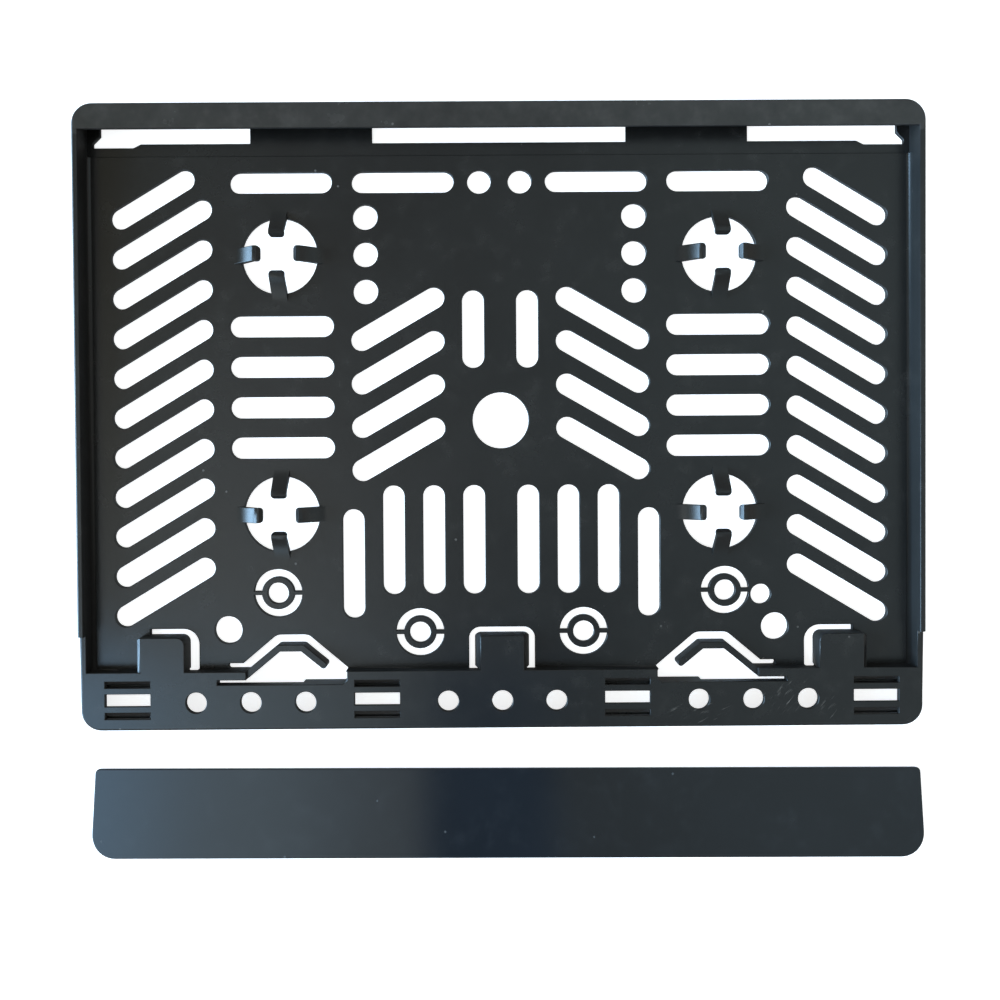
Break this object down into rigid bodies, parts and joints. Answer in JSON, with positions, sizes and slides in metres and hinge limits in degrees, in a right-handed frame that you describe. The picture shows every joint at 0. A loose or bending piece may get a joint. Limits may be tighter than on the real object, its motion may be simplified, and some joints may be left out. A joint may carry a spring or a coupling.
{
  "type": "number plate holder",
  "caption": "Shallow moulded tray with a slotted back plate, a lip along its top edge, spring fingers and a raised lower band, and the clip-on strip that closes it, lying apart below.",
  "frame": {"origin": "middle of the field of screw slots, on the back face of the frame, on its centre line", "axes": "+X to the right along the frame's width, +Y towards the lip at the top, +Z out of the front, towards whoever looks at the number plate"},
  "size_m": [0.2929, 0.2621, 0.011],
  "materials": {
    "frame_plastic": "satin, as moulded",
    "strip_plastic": "smooth satin, as moulded"
  },
  "bodies": {
    "root": {"holder_frame": "frame_plastic", "retaining_strip": "strip_plastic"}
  },
  "joints": []
}
